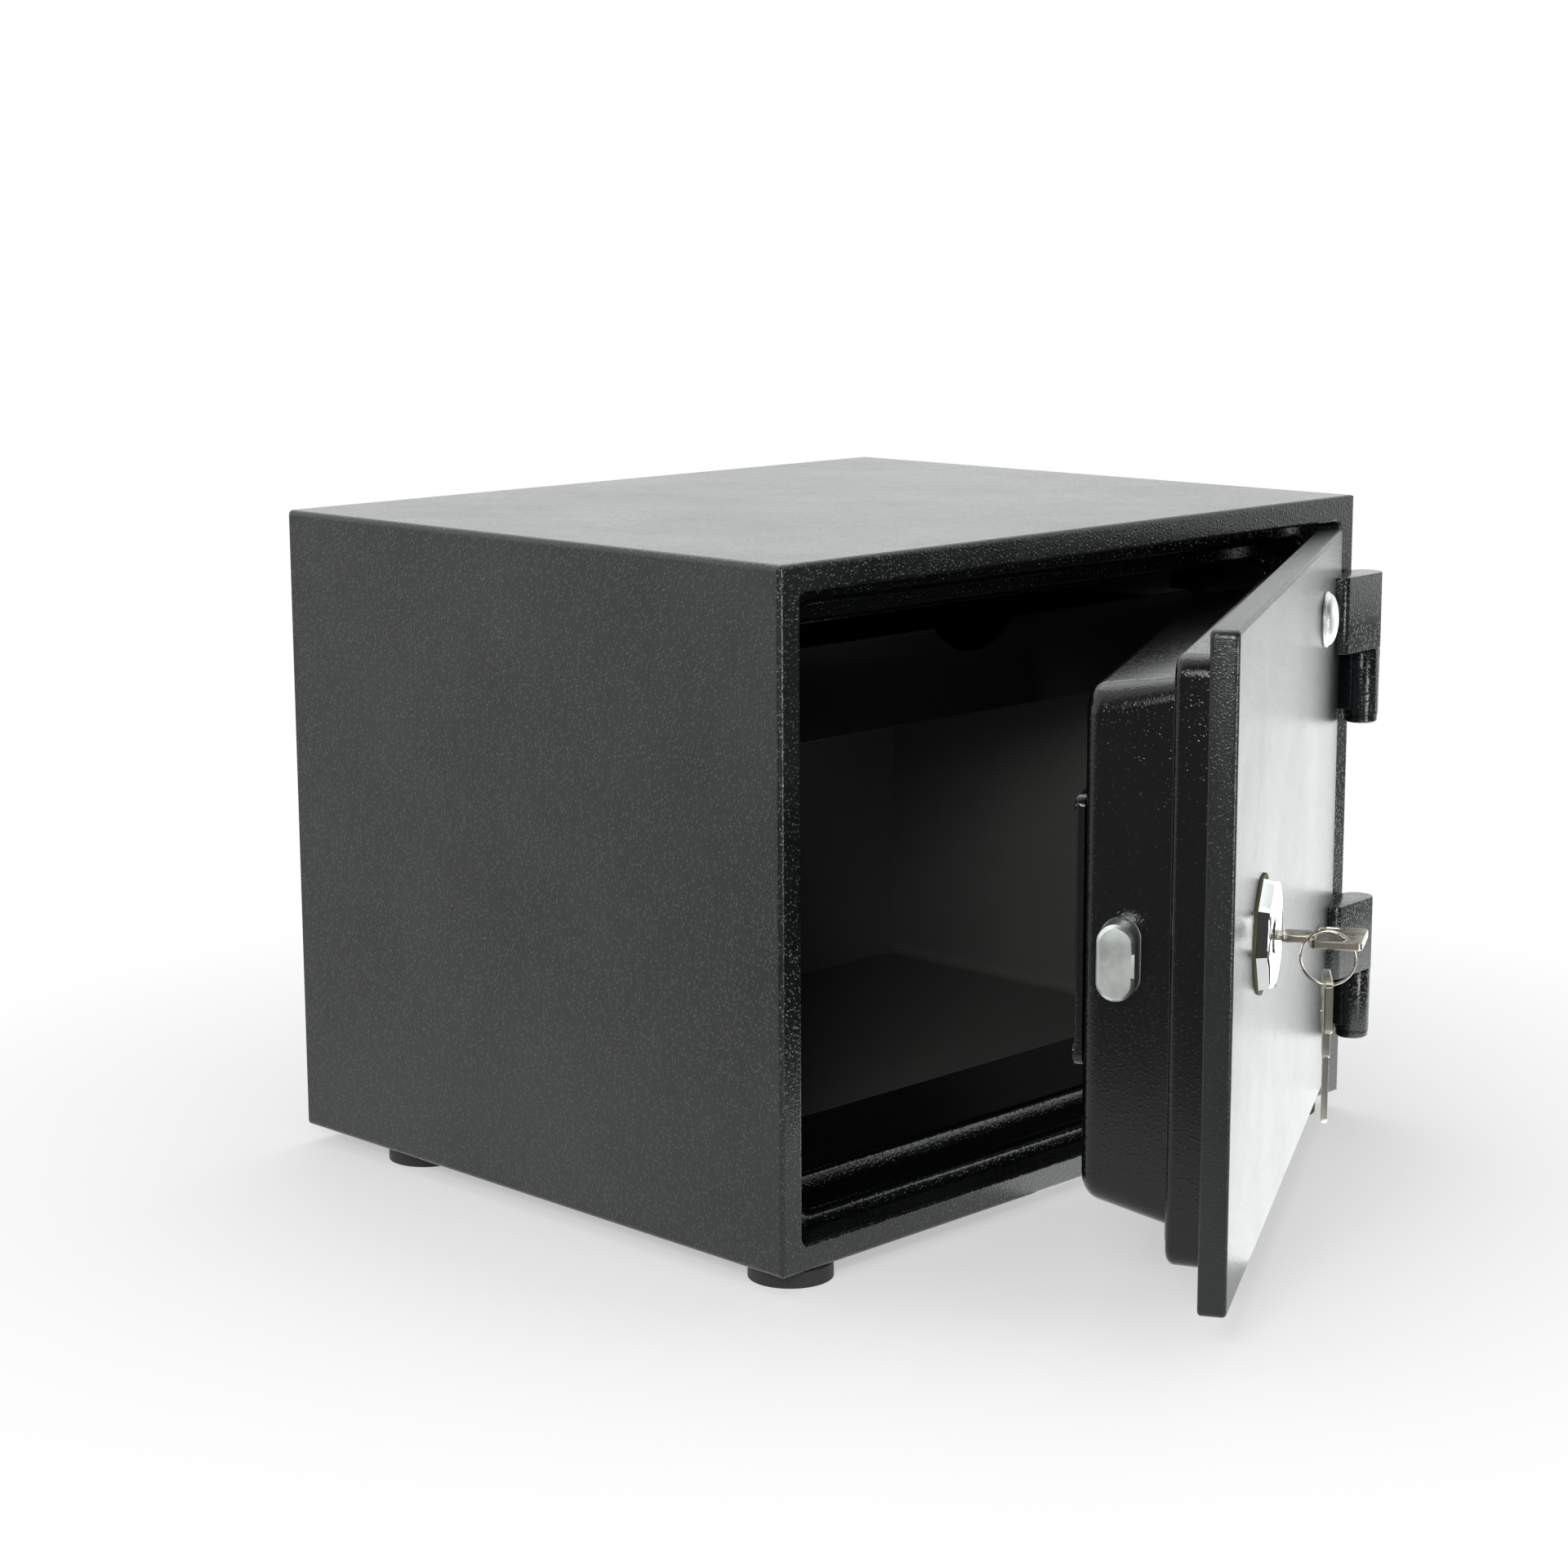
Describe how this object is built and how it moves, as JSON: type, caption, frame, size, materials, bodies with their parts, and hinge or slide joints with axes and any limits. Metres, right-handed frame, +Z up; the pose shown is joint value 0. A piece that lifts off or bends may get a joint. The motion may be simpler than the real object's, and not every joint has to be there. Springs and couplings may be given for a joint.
{
  "type": "fire safe",
  "caption": "Free-standing fire safe with a stepped hinged door, key lock with a sliding bolt, ring with a spare key, lined cavity and a shallow tray under its roof.",
  "frame": {"origin": "on the floor, at the centre of the four feet", "axes": "+X to the right and +Y into the safe seen from its front, +Z up; the door is stored 29.3 degrees open"},
  "size_m": [0.3999, 0.5132, 0.308],
  "materials": {
    "shell_paint": "dark grey textured powder coat, satin",
    "frame_paint": "glossy black textured enamel",
    "liner_paint": "dark grey satin enamel",
    "door_paint": "grey textured powder coat, satin",
    "hinge_paint": "glossy black enamel",
    "block_paint": "glossy dark grey enamel",
    "insulation": "cast mineral fire filling",
    "keeper_steel": "zinc-plated steel",
    "foot_rubber": "matt black rubber",
    "seal_strip": "matt intumescent strip",
    "gasket_fibre": "olive fibre gasket",
    "screw_steel": "zinc-plated steel",
    "rosette_chrome": "polished chrome",
    "badge_silver": "satin silver",
    "nut_brass": "brass",
    "lock_steel": "plain steel",
    "bolt_chrome": "polished chrome",
    "key_nickel": "nickel, slightly warm",
    "ring_steel": "bright steel wire",
    "tray_plastic": "matt dark grey plastic",
    "rail_paint": "dark grey enamel"
  },
  "bodies": {
    "safe_body": {"outer_shell": "shell_paint", "back_panel": "shell_paint", "front_frame": "frame_paint", "throat_frame": "frame_paint", "inner_liner": "liner_paint", "body_insulation": "insulation", "strike_keeper": "keeper_steel", "feet": "foot_rubber", "hinge_leaf_upper": "hinge_paint", "hinge_leaf_lower": "hinge_paint", "hinge_pin_upper": "hinge_paint", "hinge_pin_lower": "hinge_paint", "drawer_rail_left": "rail_paint", "drawer_rail_right": "rail_paint"},
    "door": {"door_plate": "door_paint", "door_step_pan": "frame_paint", "door_inner_pan": "frame_paint", "door_insulation": "insulation", "door_seal": "seal_strip", "inner_cover": "frame_paint", "cover_screws": "screw_steel", "hinge_block_upper": "block_paint", "hinge_block_lower": "hinge_paint", "lock_gasket": "gasket_fibre", "lock_rosette": "rosette_chrome", "round_badge": "badge_silver", "cylinder_housing": "rosette_chrome", "lock_nut": "nut_brass", "lock_case": "lock_steel", "bolt_guide": "lock_steel"},
    "key_and_plug": {"cylinder_plug": "lock_steel", "lock_cam": "lock_steel", "door_key": "key_nickel"},
    "bolt": {"live_bolt": "bolt_chrome", "bolt_carrier": "lock_steel", "carrier_rivets": "lock_steel"},
    "ring": {"key_ring": "ring_steel"},
    "spare": {"spare_key": "key_nickel"},
    "tray": {"drawer_tray": "tray_plastic"}
  },
  "joints": [
    {"name": "door_swing", "type": "hinge", "parent": "safe_body", "child": "door", "pos_m": [0.1935, -0.152, 0.158], "axis": [0, 0, 1], "range_deg": [-29.3, 90.7]},
    {"name": "key_turn", "type": "hinge", "parent": "door", "child": "key_and_plug", "pos_m": [-0.06735, -0.28691, 0.158], "axis": [-0.4894, 0.8721, 0], "range_deg": [-90, 0]},
    {"name": "bolt_throw", "type": "slide", "parent": "door", "child": "bolt", "axis": [-0.8721, -0.4894, 0], "range_m": [0, 0.01]},
    {"name": "ring_swing", "type": "hinge", "parent": "key_and_plug", "child": "ring", "pos_m": [-0.06062, -0.31525, 0.15161], "axis": [0.8721, 0.4894, 0], "range_deg": [-35, 15]},
    {"name": "spare_key_swing", "type": "hinge", "parent": "ring", "child": "spare", "pos_m": [-0.06062, -0.31525, 0.13961], "axis": [-0.4894, 0.8721, 0], "range_deg": [-24, 24]},
    {"name": "tray_slide", "type": "slide", "parent": "safe_body", "child": "tray", "axis": [0, -1, 0], "range_m": [0, 0.025]}
  ],
  "couplings": [
    {"joint": "key_turn", "follows": "bolt_throw", "rad_per_m": -157.08}
  ]
}
